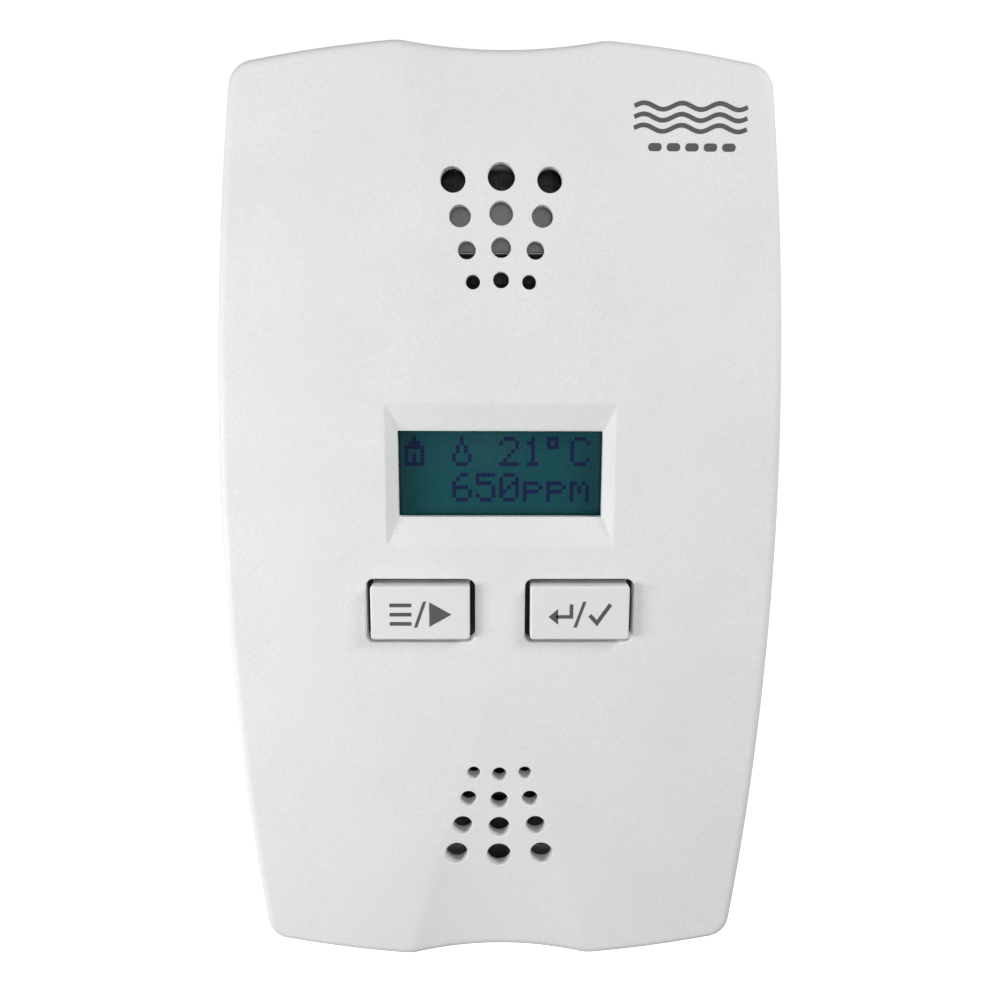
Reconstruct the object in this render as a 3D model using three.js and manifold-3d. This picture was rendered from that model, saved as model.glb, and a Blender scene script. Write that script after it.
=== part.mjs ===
// Wall-mounted air quality monitor. Millimetres, +Z up, front towards -Y.
// The origin is the centre of the wall plate's rear face, which lies on the wall at Y = 0.
import * as THREE from "three";
import { mergeVertices } from "three/addons/utils/BufferGeometryUtils.js";
import Module from "manifold-3d";

const wasm = await Module();
wasm.setup();

// ---- driving dimensions ----

// Outline of the cover, seen from the front
const HALF_WIDTH = 42; // at mid-height
const SIDE_BOW = 0.00098; // each side follows x = HALF_WIDTH - SIDE_BOW * z^2
const HALF_HEIGHT = 70.9; // the ends follow z = HALF_HEIGHT - END_BOW * x^2
const END_BOW = 0.00277;
const CORNER_RADIUS = 4;
const SCALLOP_HALF = 14.2; // the middle of each end is hollowed over this half-width
const SCALLOP_DEPTH = 1.5;

// Depths: the wall is at 0 and the front face at FACE_Y
const FACE_Y = -31;
const COVER_REAR_Y = -0.5;
const EDGE_RADIUS = 1.4;
const SIDE_WALL = 2.5;
const FRONT_WALL = 3;
const INNER_Y = FACE_Y + FRONT_WALL;

// Channels: shallow scoops of one radius that widen from an apex towards each end
const CHANNEL_APEX = 28;
const CHANNEL_RADIUS = 78;
const CHANNEL_LENGTH = 41;
const CHANNEL_POWER = 0.69;

// Vent rows, from the outermost one inwards: centre height, centre radius, side offset, drop, side radius
const VENT_ROWS = [
  { z: 52.26, r: 1.95, x: 6.84, drop: 0.47, sideR: 1.8 },
  { z: 47.28, r: 1.7, x: 5.85, drop: 0.43, sideR: 1.55 },
  { z: 42.56, r: 1.43, x: 4.9, drop: 0.39, sideR: 1.28 },
  { z: 38.06, r: 1.15, x: 4.04, drop: 0.31, sideR: 1.03 },
];

// Display window and its bevelled surround
const WINDOW = { z: 9.8, width: 30.6, height: 13 };
const SURROUND = { z: 9.7, width: 34.1, height: 21.4, depth: 1.2 };

// Buttons
const BUTTON_X = 12.1;
const BUTTON_Z = -11.1;
const OPENING = { width: 16.6, height: 10, radius: 1.2 };
const KEYCAP = { width: 15, height: 8.4, radius: 0.5, proud: 1.2, wall: 1.2, skin: 1.5 };
const KEY_FLANGE = { width: 18.2, height: 11.8, front: INNER_Y + 0.15, thick: 1.2 };

// Boards: front and rear faces
const MAIN_BOARD = { front: -17, rear: -15.4, halfWidth: 31, halfHeight: 58 };
const LCD_BOARD = { front: -23, rear: -21.4, width: 40, height: 35.4 };
const CO2_BOARD = { front: -20.6, rear: -19.4, halfWidth: 17, bottom: 38, top: 61 };
const BOARD_SCREW = { x: 27, z: 52 };

// Wall plate
const PLATE = { side: 3.2, top: 4.8, bottom: 3.2, thick: 2.4, rimFront: -4, rim: 1.5 };
const WIRING = { width: 36, bottom: 8, top: 34, radius: 3 };
const BOX_SCREW_Z = 41.65; // half of the 83.3 mm spacing of a single-gang box
const HOOK = { x: 22, halfWidth: 4, front: -5, rear: -3.8, root: 59.5, top: 69 };
const CATCH = { x: 22, halfWidth: 3.5, front: -2.8, rear: -1.6, tip: -66.9, root: -64.5 };
const HOOK_CLEARANCE = 0.7;

// ---- materials ----

const paint = (color, roughness, metalness = 0) =>
  new THREE.MeshStandardMaterial({ color, roughness, metalness });
const MATERIALS = {
  housing: paint(0xe4e5e4, 0.6),
  keycap: paint(0xe6e6e6, 0.5),
  plate: paint(0xd9dad8, 0.65),
  boardGreen: paint(0x1d4a2c, 0.5),
  boardDark: paint(0x20262a, 0.5),
  steel: paint(0xa9abab, 0.35, 1),
  lcd: paint(0x195555, 0.15),
  diffuser: paint(0x9fc7b8, 0.6),
  blackPlastic: paint(0x191a1b, 0.55),
  greyPlastic: paint(0x6c6e6c, 0.6),
  whitePlastic: paint(0xdcdcd6, 0.6),
  terminalGreen: paint(0x2c7a3f, 0.5),
  relayBlue: paint(0x2a4f8c, 0.5),
  aluminium: paint(0xb9bbbc, 0.4, 1),
  brass: paint(0xb28c45, 0.35, 1),
};

// ---- solid tools ----

function toSolid(geometry) {
  const bare = geometry.index ? geometry.toNonIndexed() : geometry.clone();
  bare.deleteAttribute("normal");
  bare.deleteAttribute("uv");
  const merged = mergeVertices(bare, 1e-4);
  return new wasm.Manifold(
    new wasm.Mesh({
      numProp: 3,
      vertProperties: merged.attributes.position.array,
      triVerts: new Uint32Array(merged.index.array),
    }),
  );
}

function toGeometry(solid) {
  const mesh = solid.getMesh();
  const geometry = new THREE.BufferGeometry();
  geometry.setAttribute("position", new THREE.BufferAttribute(mesh.vertProperties, 3));
  geometry.setIndex(new THREE.BufferAttribute(mesh.triVerts, 1));
  geometry.computeVertexNormals();
  return geometry;
}

const join = (first, ...others) => others.reduce((sum, piece) => sum.add(piece), first);
const cut = (body, ...tools) => tools.reduce((rest, tool) => rest.subtract(tool), body);

// A flat outline in X and Z, given as [x, z] points, filled from depth y0 to y1.
function slab(points, y0, y1) {
  const shape = new THREE.Shape(points.map(([x, z]) => new THREE.Vector2(x, z)));
  const geometry = new THREE.ExtrudeGeometry(shape, { depth: y1 - y0, bevelEnabled: false });
  geometry.rotateX(Math.PI / 2).translate(0, y1, 0);
  return toSolid(geometry);
}

// A block from one corner to the other.
function block(x0, x1, y0, y1, z0, z1) {
  const geometry = new THREE.BoxGeometry(x1 - x0, y1 - y0, z1 - z0);
  geometry.translate((x0 + x1) / 2, (y0 + y1) / 2, (z0 + z1) / 2);
  return toSolid(geometry);
}

// A round bar along Y.
function disc(x, z, radius, y0, y1, segments = 16) {
  const geometry = new THREE.CylinderGeometry(radius, radius, y1 - y0, segments);
  geometry.translate(x, (y0 + y1) / 2, z);
  return toSolid(geometry);
}

// A round bar along Z.
function uprightBar(x, y, radius, z0, z1, segments = 16) {
  const geometry = new THREE.CylinderGeometry(radius, radius, z1 - z0, segments);
  geometry.rotateX(Math.PI / 2).translate(x, y, (z0 + z1) / 2);
  return toSolid(geometry);
}

// A turned piece about an axis along Y: [radius, y] points from axis to axis, in order of falling y.
function turned(x, z, profile, segments = 16) {
  const points = profile.map(([r, y]) => new THREE.Vector2(r, y)).reverse();
  const geometry = new THREE.LatheGeometry(points, segments);
  geometry.translate(x, 0, z);
  return toSolid(geometry);
}

// Corner points of a rounded rectangle.
function roundedRectangle(x, z, width, height, radius, segments = 3) {
  const points = [];
  for (let corner = 0; corner < 4; corner++) {
    const sx = corner === 0 || corner === 3 ? 1 : -1;
    const sz = corner < 2 ? 1 : -1;
    for (let i = 0; i <= segments; i++) {
      const angle = (corner + i / segments) * (Math.PI / 2);
      points.push([
        x + sx * (width / 2 - radius) + radius * Math.cos(angle),
        z + sz * (height / 2 - radius) + radius * Math.sin(angle),
      ]);
    }
  }
  return points;
}

// A body through rings of equally many [x, y, z] points, capped at both ends. flatten turns a
// point of an end ring into the two coordinates of the plane that the ring lies in.
function loft(rings, flatten) {
  const count = rings[0].length;
  const index = [];
  for (let r = 0; r + 1 < rings.length; r++) {
    for (let i = 0; i < count; i++) {
      const j = (i + 1) % count;
      const [a, b, c, d] = [i, j, count + i, count + j].map((k) => k + r * count);
      index.push(a, b, c, b, d, c);
    }
  }
  const cap = (ring, offset, against) => {
    const flat = ring.map((point) => new THREE.Vector2(...flatten(point)));
    const ringTurn = Math.sign(THREE.ShapeUtils.area(flat));
    for (const face of THREE.ShapeUtils.triangulateShape(flat, [])) {
      const faceTurn = Math.sign(THREE.ShapeUtils.area(face.map((k) => flat[k])));
      const kept = (faceTurn === ringTurn) !== against;
      index.push(...(kept ? face : face.slice().reverse()).map((k) => k + offset));
    }
  };
  cap(rings[0], 0, true);
  cap(rings[rings.length - 1], (rings.length - 1) * count, false);
  const geometry = new THREE.BufferGeometry();
  geometry.setAttribute("position", new THREE.Float32BufferAttribute(rings.flat(2), 3));
  geometry.setIndex(index);
  const solid = toSolid(geometry);
  if (solid.volume() > 0) return solid;
  geometry.setIndex(index.reverse());
  return toSolid(geometry);
}

const acrossDepth = ([x, , z]) => [x, z];
const acrossHeight = ([x, y]) => [x, y];

// ---- the outline of the cover and of the plate ----

const scallop = (x) => Math.max(0, SCALLOP_DEPTH * (1 - (x / SCALLOP_HALF) ** 2));

// One quarter of the outline, from the middle of the side to the middle of the end.
function quarterOutline(side, end, radius) {
  const sideX = (z) => HALF_WIDTH - side - SIDE_BOW * z * z;
  const endZ = (x) => HALF_HEIGHT - end - END_BOW * x * x - scallop(x);
  let corner = new THREE.Vector2(HALF_WIDTH, HALF_HEIGHT);
  for (let i = 0; i < 12; i++) {
    corner = new THREE.Vector2(sideX(corner.y), endZ(corner.x));
  }
  const sideNormal = new THREE.Vector2(1, 2 * SIDE_BOW * corner.y).normalize();
  const endNormal = new THREE.Vector2(2 * END_BOW * corner.x, 1).normalize();
  const pull = radius / (1 + sideNormal.dot(endNormal));
  const centre = corner.clone().sub(sideNormal.clone().add(endNormal).multiplyScalar(pull));
  const arcPoint = (angle) => [
    centre.x + radius * Math.cos(angle),
    centre.y + radius * Math.sin(angle),
  ];
  const [from, to] = [sideNormal.angle(), endNormal.angle()];
  const arcBottom = arcPoint(from)[1];
  const arcInner = arcPoint(to)[0];
  const [sideSteps, arcSteps, endSteps, scallopSteps] = [6, 4, 4, 4];
  const points = [];
  for (let i = 0; i < sideSteps; i++) {
    const z = (arcBottom * i) / sideSteps;
    points.push([sideX(z), z]);
  }
  for (let i = 0; i <= arcSteps; i++) {
    points.push(arcPoint(from + ((to - from) * i) / arcSteps));
  }
  for (let i = 1; i < endSteps; i++) {
    const x = arcInner + ((SCALLOP_HALF - arcInner) * i) / endSteps;
    points.push([x, endZ(x)]);
  }
  for (let i = 0; i <= scallopSteps; i++) {
    const x = SCALLOP_HALF * (1 - i / scallopSteps);
    points.push([x, endZ(x)]);
  }
  return points;
}

// The whole outline, moved in by side, top and bottom; counter-clockwise in X and Z.
function outline(side, top, bottom, radius) {
  const upper = quarterOutline(side, top, radius);
  const lower = quarterOutline(side, bottom, radius);
  const mirrored = (points, sx, sz) => points.map(([x, z]) => [sx * x, sz * z]);
  return [
    ...upper,
    ...mirrored(upper, -1, 1).reverse().slice(1),
    ...mirrored(lower, -1, -1).slice(1),
    ...mirrored(lower, 1, -1).reverse().slice(1, -1),
  ];
}

// ---- front cover ----

function coverBody() {
  const ring = (inset, y) =>
    outline(inset, inset, inset, CORNER_RADIUS - inset).map(([x, z]) => [x, y, z]);
  const rings = [ring(0, COVER_REAR_Y)];
  const edgeSteps = 4;
  for (let i = 0; i <= edgeSteps; i++) {
    const angle = (i / edgeSteps) * (Math.PI / 2);
    const inset = EDGE_RADIUS * (1 - Math.cos(angle));
    rings.push(ring(inset, FACE_Y + EDGE_RADIUS * (1 - Math.sin(angle))));
  }
  return loft(rings, acrossDepth);
}

// The scoop of one channel; end is 1 for the top and -1 for the bottom.
function channelTool(end) {
  const [start, finish, steps, across] = [1.5, CHANNEL_LENGTH + 4, 9, 12];
  const rings = [];
  for (let i = 0; i <= steps; i++) {
    const along = start + ((finish - start) * i) / steps;
    const half = SCALLOP_HALF * (along / CHANNEL_LENGTH) ** CHANNEL_POWER;
    const depth = half ** 2 / (2 * CHANNEL_RADIUS);
    const edge = Math.sqrt(2 * CHANNEL_RADIUS * (depth + 0.3));
    const z = end * (CHANNEL_APEX + along);
    const ring = [];
    for (let k = 0; k <= across; k++) {
      const x = edge * ((2 * k) / across - 1);
      ring.push([x, FACE_Y + depth - x ** 2 / (2 * CHANNEL_RADIUS), z]);
    }
    ring.push([edge, FACE_Y - 2, z], [-edge, FACE_Y - 2, z]);
    rings.push(ring);
  }
  return loft(rings, acrossHeight);
}

// All vent holes of the cover, as [x, z, radius].
function ventHoles() {
  const holes = [];
  for (const end of [1, -1]) {
    for (const row of VENT_ROWS) {
      holes.push([0, end * row.z, row.r]);
      for (const side of [1, -1]) {
        holes.push([side * row.x, end * (row.z - row.drop), row.sideR]);
      }
    }
  }
  return holes;
}

// The window with its bevelled surround, as one tool that also passes through the wall.
function windowTool() {
  const [floor, over] = [FACE_Y + SURROUND.depth, 0.5];
  const lean = 1 + over / SURROUND.depth;
  const rectangle = (halfWidth, top, bottom, y) => [
    [halfWidth, y, bottom],
    [halfWidth, y, top],
    [-halfWidth, y, top],
    [-halfWidth, y, bottom],
  ];
  const top = WINDOW.z + WINDOW.height / 2;
  const bottom = WINDOW.z - WINDOW.height / 2;
  const outerTop = SURROUND.z + SURROUND.height / 2;
  const outerBottom = SURROUND.z - SURROUND.height / 2;
  return loft(
    [
      rectangle(
        WINDOW.width / 2 + ((SURROUND.width - WINDOW.width) / 2) * lean,
        top + (outerTop - top) * lean,
        bottom + (outerBottom - bottom) * lean,
        FACE_Y - over,
      ),
      rectangle(WINDOW.width / 2, top, bottom, floor),
      rectangle(WINDOW.width / 2, top, bottom, INNER_Y + 1),
    ],
    acrossDepth,
  );
}

const rectangleSlab = (x, z, width, height, radius, y0, y1) =>
  slab(roundedRectangle(x, z, width, height, radius), y0, y1);

// A frame inside the cover that guides one button's flange.
function buttonGuide(x) {
  const [depth, wall, clearance] = [2.6, 1, 0.35];
  const width = KEY_FLANGE.width + 2 * clearance;
  const height = KEY_FLANGE.height + 2 * clearance;
  return cut(
    rectangleSlab(x, BUTTON_Z, width + 2 * wall, height + 2 * wall, 1.4, INNER_Y - 0.4, INNER_Y + depth),
    rectangleSlab(x, BUTTON_Z, width, height, 0.6, INNER_Y - 1, INNER_Y + depth + 1),
  );
}

const boardCorners = [1, -1].flatMap((sx) => [1, -1].map((sz) => [sx * BOARD_SCREW.x, sz * BOARD_SCREW.z]));

function frontCover() {
  const cavity = slab(
    outline(SIDE_WALL, SIDE_WALL, SIDE_WALL, CORNER_RADIUS - SIDE_WALL),
    INNER_Y,
    COVER_REAR_Y + 1,
  );
  const posts = boardCorners.map(([x, z]) => disc(x, z, 3, INNER_Y - 0.4, MAIN_BOARD.front));
  const pilots = boardCorners.map(([x, z]) => disc(x, z, 1.35, MAIN_BOARD.front - 7, 0, 12));
  const vents = ventHoles().map(([x, z, r]) => disc(x, z, r, FACE_Y - 1, INNER_Y + 1));
  const openings = [-BUTTON_X, BUTTON_X].map((x) =>
    rectangleSlab(x, BUTTON_Z, OPENING.width, OPENING.height, OPENING.radius, FACE_Y - 1, INNER_Y + 1),
  );
  const lcdPocket = block(-19.6, 19.6, INNER_Y - 0.6, INNER_Y + 1, WINDOW.z - 12.6, WINDOW.z + 12.6);
  const slotHalf = HOOK.halfWidth + HOOK_CLEARANCE;
  const hookSlots = [-HOOK.x, HOOK.x].map((x) =>
    block(x - slotHalf, x + slotHalf, HOOK.front - 1.4, HOOK.rear + 1.4, HOOK.top - 3.8, HOOK.top + 3),
  );
  const pocketHalf = CATCH.halfWidth + 1;
  const catchPockets = [-CATCH.x, CATCH.x].map((x) =>
    block(x - pocketHalf, x + pocketHalf, CATCH.front - 0.6, CATCH.rear + 0.6, CATCH.tip - 0.7, CATCH.tip + 0.7),
  );
  const pryNotch = block(-4, 4, COVER_REAR_Y - 1.2, 1, CATCH.tip - 5, CATCH.tip + 1);
  return cut(
    join(cut(coverBody(), cavity), ...posts, buttonGuide(-BUTTON_X), buttonGuide(BUTTON_X)),
    channelTool(1),
    channelTool(-1),
    windowTool(),
    lcdPocket,
    pryNotch,
    ...pilots,
    ...vents,
    ...openings,
    ...hookSlots,
    ...catchPockets,
  );
}

// ---- wall plate ----

function backPlate() {
  const radius = CORNER_RADIUS - 1;
  const full = outline(PLATE.side, PLATE.top, PLATE.bottom, radius);
  const inner = outline(
    PLATE.side + PLATE.rim,
    PLATE.top + PLATE.rim,
    PLATE.bottom + PLATE.rim,
    radius - PLATE.rim,
  );
  const tray = cut(slab(full, PLATE.rimFront, 0), slab(inner, PLATE.rimFront - 1, -PLATE.thick));
  const ribs = [-21, 21].map((x) => block(x - 0.8, x + 0.8, PLATE.rimFront, -PLATE.thick + 0.2, -60, 59));
  const hooks = [-HOOK.x, HOOK.x].flatMap((x) => {
    const [x0, x1] = [x - HOOK.halfWidth, x + HOOK.halfWidth];
    return [
      block(x0, x1, HOOK.front, HOOK.rear, HOOK.root, HOOK.top),
      block(x0, x1, HOOK.front, -1, HOOK.root, HOOK.root + 3),
    ];
  });
  const catches = [-CATCH.x, CATCH.x].map((x) =>
    block(x - CATCH.halfWidth, x + CATCH.halfWidth, CATCH.front, CATCH.rear, CATCH.tip, CATCH.root),
  );
  const wiring = rectangleSlab(
    0,
    (WIRING.top + WIRING.bottom) / 2,
    WIRING.width,
    WIRING.top - WIRING.bottom,
    WIRING.radius,
    -10,
    1,
  );
  const boxSlots = [-BOX_SCREW_Z, BOX_SCREW_Z].map((z) => rectangleSlab(0, z, 12, 4, 1.95, -10, 1));
  const cornerHoles = [-29, 29].flatMap((x) => [-46, 46].map((z) => disc(x, z, 2, -10, 1)));
  return cut(join(tray, ...ribs, ...hooks, ...catches), wiring, ...boxSlots, ...cornerHoles);
}

// ---- buttons and their switches ----

const SWITCH = { size: 6, front: -20.5, plungerFront: -21.9, plungerRadius: 1.7 };

function keycap(x) {
  const front = FACE_Y - KEYCAP.proud;
  const flangeRear = KEY_FLANGE.front + KEY_FLANGE.thick;
  const [w, h, wall] = [KEYCAP.width, KEYCAP.height, KEYCAP.wall];
  const cap = join(
    rectangleSlab(x, BUTTON_Z, w - 0.4, h - 0.4, KEYCAP.radius, front, front + 0.5),
    rectangleSlab(x, BUTTON_Z, w, h, KEYCAP.radius, front + 0.2, flangeRear),
    rectangleSlab(x, BUTTON_Z, KEY_FLANGE.width, KEY_FLANGE.height, 0.5, KEY_FLANGE.front, flangeRear),
  );
  const hollow = rectangleSlab(x, BUTTON_Z, w - 2 * wall, h - 2 * wall, 0.4, front + KEYCAP.skin, 0);
  const stem = disc(x, BUTTON_Z, 2, front + KEYCAP.skin - 0.3, SWITCH.plungerFront - 0.1);
  return join(cut(cap, hollow), stem);
}

const switchBody = (x) => {
  const half = SWITCH.size / 2;
  return cut(
    block(x - half, x + half, SWITCH.front, MAIN_BOARD.front, BUTTON_Z - half, BUTTON_Z + half),
    disc(x, BUTTON_Z, SWITCH.plungerRadius + 0.25, SWITCH.front - 1, SWITCH.front + 1.5),
  );
};

const plunger = (x) =>
  disc(x, BUTTON_Z, SWITCH.plungerRadius, SWITCH.plungerFront, SWITCH.front + 0.9);

// ---- boards and display ----

function mainBoard() {
  const { front, rear, halfWidth, halfHeight } = MAIN_BOARD;
  return cut(
    rectangleSlab(0, 0, 2 * halfWidth, 2 * halfHeight, 2, front, rear),
    ...boardCorners.map(([x, z]) => disc(x, z, 1.6, front - 1, rear + 1, 12)),
  );
}

function boardScrew(x, z) {
  const under = MAIN_BOARD.rear;
  const top = under + 1.7;
  const head = turned(x, z, [
    [0, top],
    [1.5, top],
    [2.3, top - 0.5],
    [2.6, under],
    [1.1, under],
    [1.1, under - 6],
    [0.4, under - 7.2],
    [0, under - 7.2],
  ]);
  const recess = [
    block(x - 1.4, x + 1.4, top - 0.9, top + 1, z - 0.3, z + 0.3),
    block(x - 0.3, x + 0.3, top - 0.9, top + 1, z - 1.4, z + 1.4),
  ];
  return cut(head, ...recess);
}

const LCD_BEZEL = { width: 38, height: 24, front: INNER_Y - 0.3, sheet: 0.4 };

function lcdBezel() {
  const { width, height, front, sheet } = LCD_BEZEL;
  return cut(
    rectangleSlab(0, WINDOW.z, width, height, 0.8, front, LCD_BOARD.front),
    rectangleSlab(0, WINDOW.z, width - 2 * sheet, height - 2 * sheet, 0.5, front + sheet, 0),
    rectangleSlab(0, WINDOW.z, 32, 14.6, 0.3, front - 1, 0),
  );
}

const lcdGlass = () => rectangleSlab(0, WINDOW.z, 36, 20, 0.2, LCD_BEZEL.front + 0.45, -25.65);
const lcdBacklight = () => rectangleSlab(0, WINDOW.z, 36.4, 22.4, 0.3, -25.6, LCD_BOARD.front - 0.05);

const lcdBoard = () =>
  rectangleSlab(0, WINDOW.z, LCD_BOARD.width, LCD_BOARD.height, 0.5, LCD_BOARD.front, LCD_BOARD.rear);

// A pin header between two boards: a bar with a notch between each pair of pins.
function header(z, pins, y0, y1) {
  const pitch = 2.54;
  const half = (pins * pitch) / 2;
  const notches = [];
  for (let i = 1; i < pins; i++) {
    const x = i * pitch - half;
    notches.push(block(x - 0.3, x + 0.3, y0 - 1, y1 + 1, z + 0.9, z + 2));
    notches.push(block(x - 0.3, x + 0.3, y0 - 1, y1 + 1, z - 2, z - 0.9));
  }
  return cut(block(-half, half, y0, y1, z - pitch / 2, z + pitch / 2), ...notches);
}

const lcdSpacer = (x) =>
  cut(
    disc(x, WINDOW.z + 15.2, 2.2, LCD_BOARD.rear, MAIN_BOARD.front, 12),
    disc(x, WINDOW.z + 15.2, 1, LCD_BOARD.rear - 1, MAIN_BOARD.front + 1, 10),
  );

// ---- sensors ----

const CO2_CHAMBER = { halfWidth: 13, bottom: 42.3, top: 50.2, front: -26 };

const co2Board = () =>
  rectangleSlab(
    0,
    (CO2_BOARD.bottom + CO2_BOARD.top) / 2,
    2 * CO2_BOARD.halfWidth,
    CO2_BOARD.top - CO2_BOARD.bottom,
    0.8,
    CO2_BOARD.front,
    CO2_BOARD.rear,
  );

function co2Chamber() {
  const { halfWidth, bottom, top, front } = CO2_CHAMBER;
  const middle = (bottom + top) / 2;
  return cut(
    rectangleSlab(0, middle, 2 * halfWidth, top - bottom, 1, front, CO2_BOARD.front),
    disc(10, middle, 2.3, front - 1, front + 0.6),
  );
}

const co2Membrane = () =>
  disc(10, (CO2_CHAMBER.bottom + CO2_CHAMBER.top) / 2, 2.15, CO2_CHAMBER.front + 0.1, CO2_CHAMBER.front + 0.55);

// A thin pale ledge along the chamber's lower edge.
const co2Ledge = () =>
  block(-12, 12, CO2_CHAMBER.front + 0.4, CO2_BOARD.front, CO2_CHAMBER.bottom - 0.4, CO2_CHAMBER.bottom - 0.05);

const CO2_LAMP = { z: 56.1, width: 19, height: 3.4, front: -24.4 };

const co2Lamp = () =>
  rectangleSlab(0, CO2_LAMP.z, CO2_LAMP.width, CO2_LAMP.height, 0.5, CO2_LAMP.front, CO2_BOARD.front);

const vocBase = () => disc(-19, -38, 4.6, -18.6, MAIN_BOARD.front, 20);

function vocCan() {
  const can = turned(-19, -38, [
    [0, -18.65],
    [4.1, -18.65],
    [4.1, -23.4],
    [3.6, -24],
    [0, -24],
  ], 20);
  const mesh = [0, 1, 2, 3, 4, 5].map((i) => {
    const angle = (i / 6) * 2 * Math.PI;
    return disc(-19 + 2 * Math.cos(angle), -38 + 2 * Math.sin(angle), 0.5, -25, -23.5, 8);
  });
  return cut(can, disc(-19, -38, 0.6, -25, -23.5, 8), ...mesh);
}

const humiditySensor = () =>
  cut(block(18.5, 21.5, -18.1, MAIN_BOARD.front, -53.5, -50.5), disc(20, -52, 0.8, -19, -17.6, 10));

// ---- other components ----

const microcontroller = () =>
  cut(block(-5, 5, -18.5, MAIN_BOARD.front, -33, -23), disc(-3.8, -24.2, 0.5, -19, -18.3, 10));

const crystal = () => rectangleSlab(12, -28, 11, 4.4, 2, -20.5, MAIN_BOARD.front);

const buzzer = () =>
  cut(disc(0, -46, 6, -25, MAIN_BOARD.front, 24), disc(0, -46, 1.1, -26, -22.5, 12));

const relay = () => rectangleSlab(-19.5, -30.5, 15, 19, 0.6, MAIN_BOARD.rear, -5.4);

const capacitor = (x) =>
  turned(x, -16, [
    [0, -5.2],
    [3.4, -5.2],
    [3.9, -5.7],
    [3.9, -13.4],
    [3.5, -13.9],
    [3.9, -14.4],
    [3.9, MAIN_BOARD.rear],
    [0, MAIN_BOARD.rear],
  ]);

const inductor = () =>
  cut(
    rectangleSlab(20, -32, 7.4, 7.4, 1.2, MAIN_BOARD.rear, -11.4),
    cut(disc(20, -32, 3.1, -12.2, -11, 16), disc(20, -32, 2, -12.4, -10, 16)),
  );

const regulator = () =>
  join(
    block(4, 10.5, MAIN_BOARD.rear, -13.1, -36, -30),
    block(4.6, 9.9, MAIN_BOARD.rear, -14.6, -30.2, -28.6),
  );

const fuse = () => rectangleSlab(-22, -8, 8.4, 4, 0.8, MAIN_BOARD.rear, -8);

// Terminal block: an open shroud on the board and a plug with one way per field wire.
const TERMINAL = { ways: 6, pitch: 5.08, bottom: 15, top: 27, plugRear: -4.6, shroudRear: -8.4 };
const wayX = (i) => (i - (TERMINAL.ways - 1) / 2) * TERMINAL.pitch;

function terminalHeader() {
  const half = (TERMINAL.ways * TERMINAL.pitch) / 2 + 1.3;
  const { bottom, top, shroudRear } = TERMINAL;
  return cut(
    block(-half, half, MAIN_BOARD.rear, shroudRear, bottom - 1.2, top + 1.2),
    block(-half + 1, half - 1, MAIN_BOARD.rear + 1, 0, bottom - 0.2, top + 0.2),
  );
}

function terminalPlug() {
  const half = (TERMINAL.ways * TERMINAL.pitch) / 2;
  const { bottom, top, plugRear, ways } = TERMINAL;
  const tools = [];
  for (let i = 0; i < ways; i++) {
    const x = wayX(i);
    tools.push(block(x - 1.5, x + 1.5, plugRear - 5, 0, bottom + 2.4, bottom + 6));
    tools.push(uprightBar(x, plugRear - 1.9, 1.45, top - 1.4, top + 1, 12));
  }
  return cut(block(-half, half, MAIN_BOARD.rear + 1.2, plugRear, bottom, top), ...tools);
}

function terminalScrew(i) {
  const [x, y, top] = [wayX(i), TERMINAL.plugRear - 1.9, TERMINAL.top - 0.2];
  return cut(
    uprightBar(x, y, 1.3, top - 1.1, top, 12),
    block(x - 2, x + 2, y - 0.25, y + 0.25, top - 0.5, top + 1),
  );
}

// ---- the assembly ----

const monitor = new THREE.Group();

function add(name, solid, material) {
  const mesh = new THREE.Mesh(toGeometry(solid), MATERIALS[material]);
  mesh.name = name;
  monitor.add(mesh);
}

add("back_plate", backPlate(), "plate");
add("front_cover", frontCover(), "housing");
add("main_board", mainBoard(), "boardDark");
boardCorners.forEach(([x, z], i) => add(`board_screw_${i + 1}`, boardScrew(x, z), "steel"));

for (const [side, x] of [["left", -BUTTON_X], ["right", BUTTON_X]]) {
  add(`${side}_keycap`, keycap(x), "keycap");
  add(`${side}_switch_body`, switchBody(x), "blackPlastic");
  add(`${side}_switch_plunger`, plunger(x), "blackPlastic");
  add(`${side}_lcd_spacer`, lcdSpacer(Math.sign(x) * 16.5), "whitePlastic");
}

add("lcd_bezel", lcdBezel(), "steel");
add("lcd_glass", lcdGlass(), "lcd");
add("lcd_backlight", lcdBacklight(), "diffuser");
add("lcd_board", lcdBoard(), "boardGreen");
add("lcd_header", header(WINDOW.z - 15.2, 8, LCD_BOARD.rear, MAIN_BOARD.front), "blackPlastic");

add("co2_board", co2Board(), "boardDark");
add("co2_chamber", co2Chamber(), "greyPlastic");
add("co2_membrane", co2Membrane(), "whitePlastic");
add("co2_ledge", co2Ledge(), "whitePlastic");
add("co2_lamp", co2Lamp(), "greyPlastic");
add("co2_header", header(58.5, 4, CO2_BOARD.rear, MAIN_BOARD.front), "blackPlastic");
add("voc_sensor_base", vocBase(), "blackPlastic");
add("voc_sensor_can", vocCan(), "steel");
add("humidity_sensor", humiditySensor(), "blackPlastic");

add("microcontroller", microcontroller(), "blackPlastic");
add("crystal", crystal(), "steel");
add("buzzer", buzzer(), "blackPlastic");
add("relay", relay(), "relayBlue");
add("left_capacitor", capacitor(12), "aluminium");
add("right_capacitor", capacitor(22), "aluminium");
add("inductor", inductor(), "blackPlastic");
add("regulator", regulator(), "blackPlastic");
add("fuse", fuse(), "blackPlastic");

add("terminal_header", terminalHeader(), "terminalGreen");
add("terminal_plug", terminalPlug(), "terminalGreen");
for (let i = 0; i < TERMINAL.ways; i++) {
  add(`terminal_screw_${i + 1}`, terminalScrew(i), "brass");
}

export default monitor;
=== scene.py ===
"""Looks of a wall-mounted air quality monitor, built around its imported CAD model.

Shapes are worked out in millimetres in the CAD frame: +Z up, the front towards -Y, the wall at
Y = 0.
"""

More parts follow.
